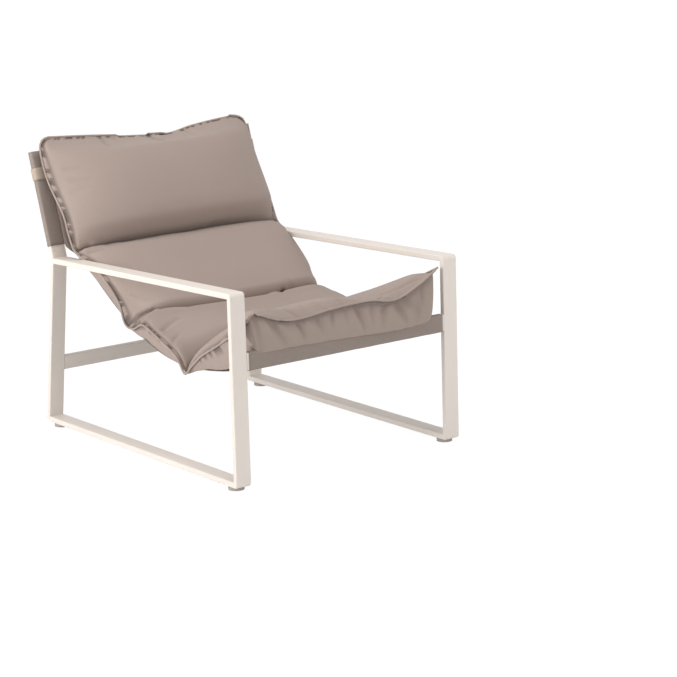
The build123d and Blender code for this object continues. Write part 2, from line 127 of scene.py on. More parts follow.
world = bpy.data.worlds.new("studio_surround")
bpy.context.scene.world = world
world.use_nodes = True
world_nodes, join = world.node_tree.nodes, world.node_tree.links.new
world_nodes.clear()
world_white = placed(world_nodes, "ShaderNodeBackground", {"Color": (1, 1, 1, 1)})
world_light = {"Color": (1, 0.98, 0.965, 1), "Strength": 0.46}
world_soft = placed(world_nodes, "ShaderNodeBackground", world_light)
world_mix = world_nodes.new("ShaderNodeMixShader")
world_out = world_nodes.new("ShaderNodeOutputWorld")
join(seen_ray(world_nodes, join), world_mix.inputs["Fac"])
join(world_soft.outputs[0], world_mix.inputs[1])
join(world_white.outputs[0], world_mix.inputs[2])
join(world_mix.outputs[0], world_out.inputs["Surface"])

# Soft studio lamps: a broad one at the sitter's right, one in front to the left, and one
# overhead. Each row is the place, the point it faces, the size and the power in watts.
lamp_rows = {
    "lamp_side": ((-3.6, 0.2, 1.1), (0, 0, 0.35), 2.4, 84),
    "lamp_front": ((1.8, -4.2, 1.5), (0, 0, 0.4), 2.4, 50),
    "lamp_top": ((-0.6, -0.2, 3.6), (0, 0, 0.3), 2.6, 52),
}
for lamp_name, (place, aim, size, power) in lamp_rows.items():
    lamp_data = bpy.data.lights.new(lamp_name, "AREA")
    lamp_data.shape = "DISK"
    lamp_data.size = size
    lamp_data.energy = power
    lamp_data.color = (1, 0.975, 0.95)
    lamp = bpy.data.objects.new(lamp_name, lamp_data)
    facing = (Vector(aim) - Vector(place)).to_track_quat("-Z", "Y")
    lamp.matrix_world = Matrix.Translation(place) @ facing.to_matrix().to_4x4()
    bpy.context.scene.collection.objects.link(lamp)

# Frame tubes: flat aluminium tube with mitred, welded corners, powder-coated off-white.
# The coat has a fine orange-peel skin and thins to a slightly darker line on sharp edges.


def surface_group(name, input_rows):
    """A node group with these inputs. It gives a surface's colour, roughness and fine height."""
    group = bpy.data.node_groups.new(name, "ShaderNodeTree")
    for socket_name, kind, value in input_rows:
        made = group.interface.new_socket(socket_name, in_out="INPUT", socket_type=kind)
        made.default_value = value
    for socket_name, kind in (
        ("Color", "NodeSocketColor"),
        ("Roughness", "NodeSocketFloat"),
        ("Height", "NodeSocketFloat"),
    ):
        group.interface.new_socket(socket_name, in_out="OUTPUT", socket_type=kind)
    return group, group.nodes, group.links.new


coat_inputs = [
    ("Color", "NodeSocketColor", (0.8, 0.74, 0.68, 1)),
    ("Rub", "NodeSocketColor", (0.6, 0.55, 0.5, 1)),
    ("Peel Size", "NodeSocketFloat", 900.0),
    ("Dust", "NodeSocketFloat", 0.5),
]
coat_group, coat_nodes, join = surface_group("coat_skin", coat_inputs)
coat_in = coat_nodes.new("NodeGroupInput")
coat_out = coat_nodes.new("NodeGroupOutput")
coat_place = coat_nodes.new("ShaderNodeTexCoord")
coat_peel = placed(coat_nodes, "ShaderNodeTexNoise", {"Detail": 2.0})
coat_cloud = placed(coat_nodes, "ShaderNodeTexNoise", {"Scale": 7.0, "Detail": 4.0})
cloud_range = {"From Min": 0.35, "From Max": 0.75, "To Min": 0.0, "To Max": 0.10}
coat_tone = placed(coat_nodes, "ShaderNodeMapRange", cloud_range)
coat_dust = placed(coat_nodes, "ShaderNodeMath", operation="MULTIPLY")
coat_edge = coat_nodes.new("ShaderNodeNewGeometry")
wear_range = {"From Min": 0.54, "From Max": 0.70, "To Max": 0.30}
coat_wear = placed(coat_nodes, "ShaderNodeMapRange", wear_range)
coat_clouded = placed(coat_nodes, "ShaderNodeMix", data_type="RGBA")
coat_rubbed = placed(coat_nodes, "ShaderNodeMix", data_type="RGBA")
coat_gloss = placed(coat_nodes, "ShaderNodeMapRange", {"To Min": 0.42, "To Max": 0.56})
join(coat_place.outputs["Object"], coat_peel.inputs["Vector"])
join(coat_in.outputs["Peel Size"], coat_peel.inputs["Scale"])
join(coat_place.outputs["Object"], coat_cloud.inputs["Vector"])
join(coat_cloud.outputs["Fac"], coat_tone.inputs["Value"])
join(coat_tone.outputs["Result"], coat_dust.inputs[0])
join(coat_in.outputs["Dust"], coat_dust.inputs[1])
join(coat_dust.outputs[0], coat_clouded.inputs["Factor"])
join(coat_in.outputs["Color"], coat_clouded.inputs["A"])
join(coat_in.outputs["Rub"], coat_clouded.inputs["B"])
join(coat_edge.outputs["Pointiness"], coat_wear.inputs["Value"])
join(coat_wear.outputs["Result"], coat_rubbed.inputs["Factor"])
join(coat_clouded.outputs["Result"], coat_rubbed.inputs["A"])
join(coat_in.outputs["Rub"], coat_rubbed.inputs["B"])
join(coat_rubbed.outputs["Result"], coat_out.inputs["Color"])
join(coat_cloud.outputs["Fac"], coat_gloss.inputs["Value"])
join(coat_gloss.outputs["Result"], coat_out.inputs["Roughness"])
join(coat_peel.outputs["Fac"], coat_out.inputs["Height"])


def surfaced(name, group, settings, strength, depth):
    """A material whose roughness and fine relief come from a node group with its settings."""
    made, made_nodes, join = material(name)
    shader = made_nodes["Principled BSDF"]
    skin = made_nodes.new("ShaderNodeGroup")
    skin.node_tree = group
    for socket_name, value in settings.items():
        skin.inputs[socket_name].default_value = value
    bump = placed(made_nodes, "ShaderNodeBump", {"Strength": strength, "Distance": depth})
    join(skin.outputs["Roughness"], shader.inputs["Roughness"])
    join(skin.outputs["Height"], bump.inputs["Height"])
    join(bump.outputs["Normal"], shader.inputs["Normal"])
    return made, made_nodes, join, shader, skin.outputs["Color"]


def coated(name, color, rub, peel_size, peel_depth, dust, metallic=0.0):
    """A skin material: its colour, the colour it rubs to, and the grain of its surface."""
    settings = {"Color": (*color, 1), "Rub": (*rub, 1), "Peel Size": peel_size, "Dust": dust}
    made, _, join, shader, skin_color = surfaced(name, coat_group, settings, 0.25, peel_depth)
    shader.inputs["Metallic"].default_value = metallic
    join(skin_color, shader.inputs["Base Color"])
    return made


def finish_node(name, finish):
    """A kept CAD node gets a material in its own slots."""
    mesh = nodes[name].data
    if not mesh.materials:
        mesh.materials.append(finish)
    for index in range(len(mesh.materials)):
        mesh.materials[index] = finish


powder_coat = coated("powder_coat", (0.79, 0.735, 0.685), (0.62, 0.565, 0.515), 1100.0, 0.0004, 0.8)
tube_names = ["front_rail", "rear_stretcher", "top_rail"]
for side in ("left", "right"):
    for piece in ("front_leg", "armrest", "back_leg", "runner", "back_post"):
        tube_names.append(f"{piece}_{side}")
for tube_name in tube_names:
    finish_node(tube_name, powder_coat)

# Joint fittings: flush plastic covers over the bolt holes, ribbed plugs in the post tops,
# drilled alloy blocks and zinc-plated bolts inside the rail ends.
cover_plastic = coated("cover_plastic", (0.76, 0.70, 0.63), (0.60, 0.54, 0.48), 500.0, 0.0003, 0.8)
plug_plastic = coated("plug_plastic", (0.22, 0.20, 0.19), (0.35, 0.33, 0.31), 500.0, 0.0003, 1.0)
block_alloy = coated("block_alloy", (0.62, 0.62, 0.63), (0.45, 0.45, 0.46), 260.0, 0.0003, 1.0, 1.0)
bolt_zinc = coated("bolt_zinc", (0.60, 0.60, 0.58), (0.42, 0.42, 0.40), 400.0, 0.0002, 1.0, 1.0)
finish_node("bolt_covers", cover_plastic)
finish_node("post_plugs", plug_plastic)
finish_node("rail_end_blocks", block_alloy)
finish_node("rail_bolts", bolt_zinc)

# Levelling feet: fluted grey plastic pads moulded round the heads of zinc-plated threaded
# stems, which turn in hexagon inserts pressed into the runners.
foot_plastic = coated("foot_plastic", (0.42, 0.39, 0.36), (0.55, 0.52, 0.48), 300.0, 0.0004, 1.0)
insert_plastic = coated("insert_plastic", (0.16, 0.155, 0.15), (0.26, 0.25, 0.24), 300.0, 0.0003, 1.0)
foot_names = ["front_left", "back_left", "front_right", "back_right"]
for foot_name in foot_names:
    finish_node(f"foot_pad_{foot_name}", foot_plastic)
    finish_node(f"foot_stem_{foot_name}", bolt_zinc)
finish_node("foot_inserts", insert_plastic)

# Seat sling: one coated outdoor cloth, hemmed at both sides, stretched from the sleeves on
# the back posts and top rail down to the sleeve on the front rail, with a slack bow.
millimetre = 0.001


def drawn_row(rows, place):
    """A value between keyed rows: each row is its place and its numbers, joined smoothly."""
    if place <= rows[0][0]:
        return list(rows[0][1])
    if place >= rows[-1][0]:
        return list(rows[-1][1])
    low = max(index for index, row in enumerate(rows) if row[0] <= place)
    high = low + 1
    before, after = max(low - 1, 0), min(high + 1, len(rows) - 1)
    span = rows[high][0] - rows[low][0]
    share = (place - rows[low][0]) / span
    found = []
    for axis in range(len(rows[0][1])):
        start, end = rows[low][1][axis], rows[high][1][axis]
        lead = (end - rows[before][1][axis]) / (rows[high][0] - rows[before][0]) * span
        trail = (rows[after][1][axis] - start) / (rows[after][0] - rows[low][0]) * span
        square, cube = share * share, share * share * share
        value = (2 * cube - 3 * square + 1) * start + (cube - 2 * square + share) * lead
        value += (3 * square - 2 * cube) * end + (cube - square) * trail
        found.append(value)
    return found


def drawn_value(pairs, place):
    """One value between keyed pairs of a place and its value, joined smoothly."""
    return drawn_row([(key, (value,)) for key, value in pairs], place)[0]


def smooth_mesh(form, name):
    """The mesh of a finished form, smooth-shaded, its faces turned outwards."""
    bmesh.ops.recalc_face_normals(form, faces=form.faces)
    mesh = bpy.data.meshes.new(name)
    form.to_mesh(mesh)
    form.free()
    for polygon in mesh.polygons:
        polygon.use_smooth = True
    return mesh


def gridded(name, columns, rows, place_of):
    """A cloth mesh from a flat grid: each point is moved to its place, and its own place on
    the flat cloth is kept in metres as the piece's UV map."""
    form = bmesh.new()
    bmesh.ops.create_grid(form, x_segments=columns, y_segments=rows, size=0.5)
    flat_map = form.loops.layers.uv.new("flat")
    places = {}
    for vertex in form.verts:
        spot, flat = place_of(vertex.co.x + 0.5, vertex.co.y + 0.5)
        places[vertex.index] = (spot, flat)
    form.verts.index_update()
    for face in form.faces:
        for loop in face.loops:
            loop[flat_map].uv = places[loop.vert.index][1]
    for vertex in form.verts:
        vertex.co = places[vertex.index][0]
    return smooth_mesh(form, name)


weave_inputs = [
    ("Color", "NodeSocketColor", (0.4, 0.35, 0.3, 1)),
    ("Shade", "NodeSocketColor", (0.3, 0.25, 0.2, 1)),
    ("Threads", "NodeSocketFloat", 1200.0),
    ("Fade", "NodeSocketFloat", 0.3),
]
weave_group, weave_nodes, join = surface_group("woven_cloth", weave_inputs)
weave_in = weave_nodes.new("NodeGroupInput")
weave_out = weave_nodes.new("NodeGroupOutput")
weave_uv = weave_nodes.new("ShaderNodeUVMap")
weave_uv.uv_map = "flat"
weave_split = weave_nodes.new("ShaderNodeSeparateXYZ")
weave_size = placed(weave_nodes, "ShaderNodeVectorMath", operation="SCALE")
join(weave_uv.outputs["UV"], weave_size.inputs[0])
join(weave_in.outputs["Threads"], weave_size.inputs["Scale"])
join(weave_size.outputs["Vector"], weave_split.inputs[0])
weave_waves = []
for axis in ("X", "Y"):
    turned = placed(weave_nodes, "ShaderNodeMath", {1: math.pi}, operation="MULTIPLY")
    wave = placed(weave_nodes, "ShaderNodeMath", operation="SINE")
    raised = placed(weave_nodes, "ShaderNodeMath", operation="ABSOLUTE")
    join(weave_split.outputs[axis], turned.inputs[0])
    join(turned.outputs[0], wave.inputs[0])
    join(wave.outputs[0], raised.inputs[0])
    weave_waves.append(raised)
thread_checks = {"Scale": 1.0, "Color1": (0, 0, 0, 1), "Color2": (1, 1, 1, 1)}
weave_over = placed(weave_nodes, "ShaderNodeTexChecker", thread_checks)
weave_height = placed(weave_nodes, "ShaderNodeMix", data_type="FLOAT")
join(weave_size.outputs["Vector"], weave_over.inputs["Vector"])
join(weave_over.outputs["Fac"], weave_height.inputs["Factor"])
join(weave_waves[0].outputs[0], weave_height.inputs["A"])
join(weave_waves[1].outputs[0], weave_height.inputs["B"])
weave_place = weave_nodes.new("ShaderNodeTexCoord")
weave_cloud = placed(weave_nodes, "ShaderNodeTexNoise", {"Scale": 9.0, "Detail": 5.0})
weave_slub = placed(weave_nodes, "ShaderNodeTexNoise", {"Scale": 320.0, "Detail": 2.0})
join(weave_place.outputs["Object"], weave_cloud.inputs["Vector"])
join(weave_place.outputs["Object"], weave_slub.inputs["Vector"])
weave_mottle = placed(weave_nodes, "ShaderNodeMath", {1: 0.55}, operation="MULTIPLY_ADD")
weave_both = placed(weave_nodes, "ShaderNodeMath", operation="MULTIPLY")
join(weave_cloud.outputs["Fac"], weave_mottle.inputs[0])
join(weave_slub.outputs["Fac"], weave_mottle.inputs[2])
join(weave_mottle.outputs[0], weave_both.inputs[0])
join(weave_in.outputs["Fade"], weave_both.inputs[1])
weave_tone = placed(weave_nodes, "ShaderNodeMix", data_type="RGBA")
join(weave_both.outputs[0], weave_tone.inputs["Factor"])
join(weave_in.outputs["Color"], weave_tone.inputs["A"])
join(weave_in.outputs["Shade"], weave_tone.inputs["B"])
join(weave_tone.outputs["Result"], weave_out.inputs["Color"])
weave_dull = placed(weave_nodes, "ShaderNodeMapRange", {"To Min": 0.78, "To Max": 0.92})
join(weave_slub.outputs["Fac"], weave_dull.inputs["Value"])
join(weave_dull.outputs["Result"], weave_out.inputs["Roughness"])
join(weave_height.outputs["Result"], weave_out.inputs["Height"])
# How dark the painted shade makes the cloth's colour deep in seams, grooves and folds
painted_shade_darkness = 0.3


def woven(name, color, shade, threads, depth, fade, sheen=0.15):
    """A cloth material: two thread colours, threads per metre and the depth of the weave. Its colour is
    darkened by painted shade where the mesh marks the cloth as lying deep in a seam, beside the piping
    or in a fold."""
    settings = {"Color": (*color, 1), "Shade": (*shade, 1), "Threads": threads, "Fade": fade}
    made, made_nodes, join, shader, cloth_color = surfaced(name, weave_group, settings, 0.3, depth)
    shader.inputs["Sheen Weight"].default_value = sheen
    shader.inputs["Sheen Roughness"].default_value = 0.5
    shader.inputs["Specular IOR Level"].default_value = 0.25
    # Painted shade: the mesh's seam value darkens the colour where shade would fall deep in seams,
    # beside the piping and in folds
    seam = made_nodes.new("ShaderNodeAttribute")
    seam.attribute_name = "painted_seam_shade"
    painted_shade_color = (*[painted_shade_darkness * value for value in color], 1)
    painted_shade_mix = placed(made_nodes, "ShaderNodeMix", {"B": painted_shade_color}, data_type="RGBA")
    join(seam.outputs["Fac"], painted_shade_mix.inputs["Factor"])
    join(cloth_color, painted_shade_mix.inputs["A"])
    join(painted_shade_mix.outputs["Result"], shader.inputs["Base Color"])
    return made


sling_cloth = woven("sling_cloth", (0.33, 0.28, 0.25), (0.22, 0.18, 0.16), 900.0, 0.0004, 0.4)
# Side line of the sling: distance along it, then Y and Z, in millimetres
sling_line = [
    (0, (445.2, 725.0)),
    (112, (411.8, 617.6)),
    (225, (378.4, 510.3)),
    (245, (369.8, 492.3)),
    (265, (356.5, 477.4)),
    (342, (295.6, 429.6)),
    (420, (231.8, 385.8)),
    (497, (165.4, 346.1)),
    (575, (96.5, 310.8)),
    (644, (32.1, 285.0)),
    (713, (-35.0, 267.3)),
    (783, (-103.7, 257.9)),
    (852, (-173.1, 256.9)),
    (925, (-245.2, 262.8)),
    (997, (-316.8, 273.6)),
    (1070, (-387.4, 289.3)),
    (1142, (-456.2, 309.9)),
]
sling_length = sling_line[-1][0]
sling_back_half = 318.6
sling_seat_half = 279.0
# Where the posts' hems end and over how far the sling is drawn in below them
sling_hem_start, sling_hem_run = 225, 45
sling_thickness = 1.2


def sling_half(along):
    """Half width of the sling: full between the posts, drawn in below their hems."""
    share = min(max((along - sling_hem_start) / sling_hem_run, 0), 1)
    return sling_back_half + (sling_seat_half - sling_back_half) * share


def sling_place(across, along_share):
    """A point of the sling, and its place on the flat cloth."""
    along = along_share * sling_length
    y, z = drawn_row(sling_line, along)
    x = (2 * across - 1) * sling_half(along)
    spot = Vector((x, y, z)) * millimetre
    return spot, (x * millimetre, along * millimetre)


def thickened(mesh, name, thickness, offset=0.0):
    """A sheet's object, its mesh given the cloth's thickness."""
    made = linked(mesh, name)
    solid = made.modifiers.new("thickness", "SOLIDIFY")
    solid.thickness = thickness
    solid.offset = offset
    solid.use_even_offset = True
    return made


sling_mesh = gridded("sling_seat", columns=48, rows=100, place_of=sling_place)
sling_panel = thickened(sling_mesh, "sling_seat", sling_thickness * millimetre)
sling_panel.data.materials.append(sling_cloth)
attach(sling_panel, "chair")
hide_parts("sling_panel")
sling_area = sling_hem_start * 2 * sling_back_half
sling_area += sling_hem_run * (sling_back_half + sling_seat_half)
sling_area += (sling_length - sling_hem_start - sling_hem_run) * 2 * sling_seat_half
sling_area *= millimetre**2

# Sleeves of the sling: closed tubes of the same cloth round the front rail, the top rail
# and both posts, with hemmed ends and a lapped seam along the back.
sleeve_gap = 0.9
sleeve_corner = 3.3
sleeve_pitch = 12
# Slight unevenness of the cloth round a tube
ripple_height, ripple_scale, ripple_base = 0.35, 0.03, 20


def sleeve(name, replaced, centre, up, start_x, end_x, width, height, carrier, along_up=False):
    """Cloth tube of rounded-rectangle section. It runs along X, or up a post if along_up."""
    across = Vector((0, up[1], -up[0]))
    rise = Vector((0, up[0], up[1]))
    side = Vector((1, 0, 0))
    half_wide, half_high = width / 2 + sleeve_gap, height / 2 + sleeve_gap
    form = bmesh.new()
    bmesh.ops.create_grid(form, x_segments=1, y_segments=1, size=1)
    for vertex in form.verts:
        vertex.co.x *= half_wide
        vertex.co.y *= half_high
    bmesh.ops.bevel(
        form,
        geom=form.verts[:],
        offset=sleeve_corner,
        offset_type="OFFSET",
        segments=4,
        profile=0.5,
        affect="VERTICES",
        material=-1,
    )
    bmesh.ops.subdivide_edges(
        form,
        edges=[edge for edge in form.edges if edge.calc_length() > 2 * sleeve_corner],
        cuts=5,
    )
    ring = [edge for edge in form.edges if edge.is_boundary]
    bmesh.ops.delete(form, geom=form.faces[:], context="FACES_KEEP_BOUNDARY")
    flat_map = form.loops.layers.uv.new("flat")
    steps = max(int((end_x - start_x) / sleeve_pitch), 2)
    pitch = (end_x - start_x) / steps
    for step in range(steps):
        grown = bmesh.ops.extrude_edge_only(form, edges=ring)
        ring = [item for item in grown["geom"] if isinstance(item, bmesh.types.BMEdge)]
        fresh = [item for item in grown["geom"] if isinstance(item, bmesh.types.BMVert)]
        bmesh.ops.translate(form, verts=fresh, vec=(0, 0, pitch))
    for face in form.faces:
        for loop in face.loops:
            spot = loop.vert.co
            round_place = spot.x + spot.y if abs(spot.x) > abs(spot.y) else spot.x - spot.y
            loop[flat_map].uv = ((start_x + spot.z) * millimetre, round_place * millimetre)
    for vertex in form.verts:
        length_place = start_x + vertex.co.z
        ripple_place = Vector((vertex.co.x, vertex.co.y, length_place)) * ripple_scale
        swell = 1 + ripple_height * noise.noise(ripple_place) / ripple_base
        if along_up:
            spot = Vector((0, *centre)) + side * vertex.co.x * swell - across * vertex.co.y * swell
            spot += rise * length_place
        else:
            spot = Vector((0, *centre)) + across * vertex.co.x * swell + rise * vertex.co.y * swell
            spot += side * length_place
        vertex.co = spot * millimetre
    made = thickened(smooth_mesh(form, name), name, sling_thickness * millimetre)
    made.data.materials.append(sling_cloth)
    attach(made, "chair")
    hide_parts(replaced)
    return made


# Tubes under the sleeves: their section, where a post stands and how it leans. A rail's row
# is its name, middle and way up, the sleeve's half length and the rail's height.
tube_width, tube_thickness = 45, 15
post_foot, post_middle = (378.735, 483.232), 340
post_up = (0.297375, 0.954761)
post_sleeve_span = (30.4, 293.0)
rail_sleeves = [
    ("front", (-464.604, 331.5), (0, 1), 311.5, tube_width),
    ("top", (458.915, 740.658), post_up, 316, 35),
]
for rail_name, rail_middle, rail_up, half_length, rail_height in rail_sleeves:
    sleeve(
        f"{rail_name}_sleeve",
        f"sling_{rail_name}_sleeve",
        rail_middle,
        rail_up,
        -half_length,
        half_length,
        tube_thickness,
        rail_height,
        f"{rail_name}_rail",
    )
for side_name, side_x in (("left", post_middle), ("right", -post_middle)):
    post_sleeve = sleeve(
        f"post_sleeve_{side_name}",
        f"sling_post_sleeve_{side_name}",
        post_foot,
        post_up,
        *post_sleeve_span,
        tube_width,
        tube_thickness,
        f"back_post_{side_name}",
        along_up=True,
    )
    post_sleeve.data.transform(Matrix.Translation((side_x * millimetre, 0, 0)))

# Cushion: one long cover of matt outdoor cloth filled with fibre, sewn across into head,
# lumbar, seat and front roll. It lies on the sling, and its edge hangs a little over it.
cushion_cloth = woven("cushion_cloth", (0.385, 0.312, 0.278), (0.32, 0.255, 0.225), 1500.0, 0.0003, 0.35)
# Distance along the cushion from its top edge, then X, Y and Z of the piped edge on the
# sitter's right, in millimetres
right_edge = [
    (0, (-313, 444, 800)),
    (14, (-334, 441, 795)),
    (34, (-345, 436, 774)),
    (120, (-340, 412, 690)),
    (220, (-342, 335, 603)),
    (270, (-338, 318, 548)),
    (300, (-330, 306, 506)),
    (390, (-312, 257, 474)),
    (480, (-306, 197, 438)),
    (560, (-305, 133, 385)),
    (625, (-302, 112, 333)),
    (685, (-297, 80, 322)),
    (720, (-302, 30, 342)),
    (750, (-305, -10, 336)),
    (810, (-305, -65, 315)),
    (880, (-306, -140, 283)),
    (918, (-305, -172, 246)),
    (960, (-304, -203, 270)),
    (1000, (-304, -250, 305)),
    (1080, (-305, -325, 345)),
    (1160, (-305, -410, 394)),
    (1225, (-307, -465, 432)),
]
left_edge = [
    (0, (312, 450, 792)),
    (14, (332, 449, 784)),
    (34, (343, 447, 762)),
    (120, (340, 416, 690)),
    (220, (342, 366, 603)),
    (270, (342, 335, 560)),
    (300, (336, 300, 508)),
    (390, (327, 250, 488)),
    (480, (322, 190, 452)),
    (560, (317, 128, 404)),
    (625, (306, 92, 362)),
    (685, (302, 52, 345)),
    (750, (306, -5, 346)),
    (860, (306, -110, 330)),
    (918, (302, -162, 330)),
    (1000, (305, -250, 375)),
    (1080, (306, -330, 418)),
    (1160, (305, -405, 455)),
    (1225, (300, -467, 482)),
]
# Middle of the upper side, section by section: Y and Z without the pull of the seams
head_crown = [
    (0, (400, 785)),
    (60, (345, 765)),
    (120, (300, 717)),
    (220, (254, 628)),
    (265, (244, 580)),
    (300, (249, 540)),
]
lumbar_crown = [
    (300, (276, 532)),
    (345, (236, 519)),
    (390, (205, 502)),
    (480, (150, 462)),
    (560, (90, 424)),
    (685, (20, 378)),
]
seat_crown = [(685, (50, 382)), (750, (-6, 364)), (860, (-104, 352)), (918, (-160, 352))]
front_crown = [
    (918, (-170, 362)),
    (995, (-248, 396)),
    (1080, (-330, 424)),
    (1160, (-405, 440)),
    (1225, (-460, 438)),
]
crown_sections = [
    (0, 300, head_crown),
    (300, 685, lumbar_crown),
    (685, 918, seat_crown),
    (918, 1225, front_crown),
]
# Seams: distance along, then Y and Z of the stitched line in the middle, and how far the
# pull of the stitches reaches. It falls off with this power.
seams = [(300, (306, 508), 42), (685, (48, 346), 42), (918, (-160, 312), 42)]
seam_power = 1.7
# Way out of the filling, and how far the upper side stands above its middle line at five
# places across, from the sitter's right to the left
swell_ways = [
    (0, (-0.955, 0.297)),
    (220, (-0.955, 0.297)),
    (300, (-0.93, 0.36)),
    (390, (-0.80, 0.60)),
    (560, (-0.62, 0.78)),
    (685, (-0.28, 0.96)),
    (750, (-0.13, 0.99)),
    (918, (0.0, 1.0)),
    (1225, (0.0, 1.0)),
]
swell_places = (-0.9, -0.45, 0, 0.45, 0.9)
swells = [
    (0, (0, 0, 0, 0, 0)),
    (120, (-14, -3, 0, -3, -14)),
    (220, (-10, -2, 0, -2, -16)),
    (300, (4, 3, 0, 2, -6)),
    (390, (-8, 0, 0, 2, 4)),
    (560, (-10, -2, 0, 2, 4)),
    (685, (26, 5, 0, 0, 12)),
    (750, (2, 2, 0, -2, 4)),
    (860, (-20, -2, 0, 0, 6)),
    (918, (-42, -8, 0, 0, 16)),
    (995, (-42, -5, 0, -5, 12)),
    (1080, (-28, -8, 0, -18, 18)),
    (1160, (14, -5, 0, -24, 26)),
    (1225, (20, 0, 0, -10, 20)),
]
# How square the cover's rounding is: upper right, upper left, under right, under left
fullness = [
    (0, (3.5, 3.5, 6, 6)),
    (200, (4, 4, 5, 6)),
    (270, (4, 4, 3, 6)),
    (330, (5, 5, 8, 7)),
    (390, (6, 7, 30, 12)),
    (860, (7, 8, 30, 12)),
    (1000, (8, 8, 60, 7)),
    (1110, (9, 8, 60, 9)),
    (1170, (9, 7, 40, 18)),
    (1225, (10, 4, 30, 16)),
]
# Middle of the underside: it lies on the sling, then on the front rail's sleeve
under_line = [
    (0, (452, 792)),
    (40, (453, 757)),
    (120, (429.3, 676.9)),
    (210, (399.0, 580.0)),
    (300, (377.0, 511.0)),
    (320, (369.0, 494.0)),
    (340, (355.9, 478.6)),
    (417, (295.1, 430.8)),
    (495, (231.4, 387.0)),
    (572, (164.9, 347.4)),
    (649, (96.1, 312.1)),
    (718, (31.8, 286.4)),
    (787, (-35.1, 268.7)),
    (857, (-103.8, 259.3)),
    (918, (-173.0, 258.3)),
    (980, (-245.1, 264.2)),
    (1040, (-316.6, 275.0)),
    (1090, (-387.2, 290.7)),
    (1125, (-440, 306)),
    (1145, (-451, 330)),
    (1156, (-452, 357)),
    (1168, (-473, 357.5)),
    (1179, (-481, 342)),
    (1190, (-485, 338)),
    (1205, (-488, 374)),
    (1225, (-467, 424)),
]
# The flat cover's length and half width, how round its two sides are, and how much the
# upper side is left to swell
cushion_length, cover_half = 1225, 305
upper_round, under_round = 0.5, 0.6
swell_room = 3
# The underside stays clear of the sling, and less and less so towards both ends
sling_clear = 7
clear_end, clear_front_run, clear_top_run = 1150, 60, 100
# How far the underside hangs beside the sling, along the cushion and at the front edge
edge_hang = [(0, 6), (600, 6), (760, 26), (960, 20), (1110, 20), (1165, 2), (1225, 0)]
hang_place, hang_width = 0.985, 0.015
front_droop = [(-1, 2), (-0.9, 8), (-0.6, 14), (-0.3, 12), (0.3, 7), (1, 6)]
droop_place, droop_width = 1188, 16
# Where the upper side closes down onto the top edge and the front edge: Y and Z, and the
# length over which it does
top_close, top_close_run = (446, 793), 45
front_close, front_close_run = (-467, 430), 40
# Height that the top edge and the front edge gain or lose between their two corners
top_edge_line = [(-1, 0), (-0.6, -8), (-0.15, -19), (0.25, -24), (0.5, -10), (0.9, 3), (1, 0)]
front_edge_line = [(-1, 0), (-0.95, 12), (-0.87, 9), (-0.78, -4), (-0.6, -25), (-0.4, -30)]
front_edge_line += [(-0.17, -28), (0.25, -35), (0.53, -52), (0.8, -29), (1, 0)]
top_edge_run, front_edge_run = 60, 50
top_edge_power, front_edge_power = 0.8, 1.5
# Groove beside the piping, and how wide the painted shade that darkens the cloth in the groove and seams
# is
groove_depth = 5.0
groove_inset = 4.0
groove_start = 3
painted_edge_shade_width = 4.5
painted_stitch_shade_width = 3.5
painted_stitch_shade = 0.8
# Folds of the cover: where each starts and ends (share across and distance along), its half
# width, and how far it stands up or, below zero, sinks in
upper_folds = [
    (-0.985, 300, 0.985, 300, 3.5, -7),
    (-0.985, 685, 0.985, 685, 3.5, -7),
    (-0.985, 918, 0.985, 918, 3.5, -6),
    (-0.44, 4, -0.47, 40, 7, -5),
    (-0.33, 4, -0.33, 26, 5, -3),
    (0.02, 4, 0.05, 40, 8, -6),
    (0.10, 4, 0.12, 30, 5, 3),
    (0.40, 4, 0.36, 34, 6, -4),
    (-0.90, 100, -0.80, 108, 7, -2.5),
    (-0.90, 135, -0.78, 138, 7, -2.5),
    (-0.92, 165, -0.80, 160, 6, -2),
    (-0.85, 292, -0.62, 306, 6, 5),
    (-0.60, 316, -0.30, 330, 9, -3),
    (-0.05, 312, 0.10, 322, 8, -3),
    (0.30, 296, 0.45, 292, 9, -3),
    (-0.95, 318, -0.80, 322, 6, 7),
    (-0.95, 332, -0.84, 340, 5, -8),
    (-0.93, 410, -0.80, 440, 7, 4),
    (-0.93, 560, -0.86, 600, 7, 4),
    (-0.99, 640, -0.88, 655, 7, 9),
    (-0.99, 662, -0.86, 672, 6, -9),
    (-0.99, 682, -0.88, 690, 6, 9),
    (-0.99, 702, -0.90, 706, 6, -8),
    (-0.99, 722, -0.84, 714, 7, 7),
    (-0.92, 790, -0.72, 770, 9, -5),
    (-0.96, 850, -0.86, 840, 7, -4),
    (0.55, 676, 0.50, 712, 9, -9),
    (0.38, 690, 0.44, 716, 8, 5),
    (0.64, 668, 0.60, 640, 8, -3),
    (-0.60, 700, -0.42, 724, 9, -4),
    (-0.15, 696, 0.02, 716, 9, -4),
    (0.55, 905, 0.35, 925, 10, -6),
    (0.15, 925, 0.00, 960, 10, -5),
    (-0.35, 930, -0.45, 985, 12, -5),
    (0.70, 905, 0.62, 950, 9, -5),
    (0.50, 1168, 0.34, 1190, 8, -7),
    (0.56, 1150, 0.72, 1180, 7, -5),
    (0.60, 1172, 0.86, 1196, 6, -5),
    (0.52, 1186, 0.60, 1204, 7, 4),
    (-0.80, 1130, -0.72, 1190, 10, -5),
    (-0.55, 1160, -0.46, 1215, 9, -6),
    (-0.36, 1175, -0.30, 1218, 8, 5),
    (-0.22, 1165, -0.16, 1218, 7, -4),
    (0.02, 1180, 0.05, 1218, 7, -4),
]
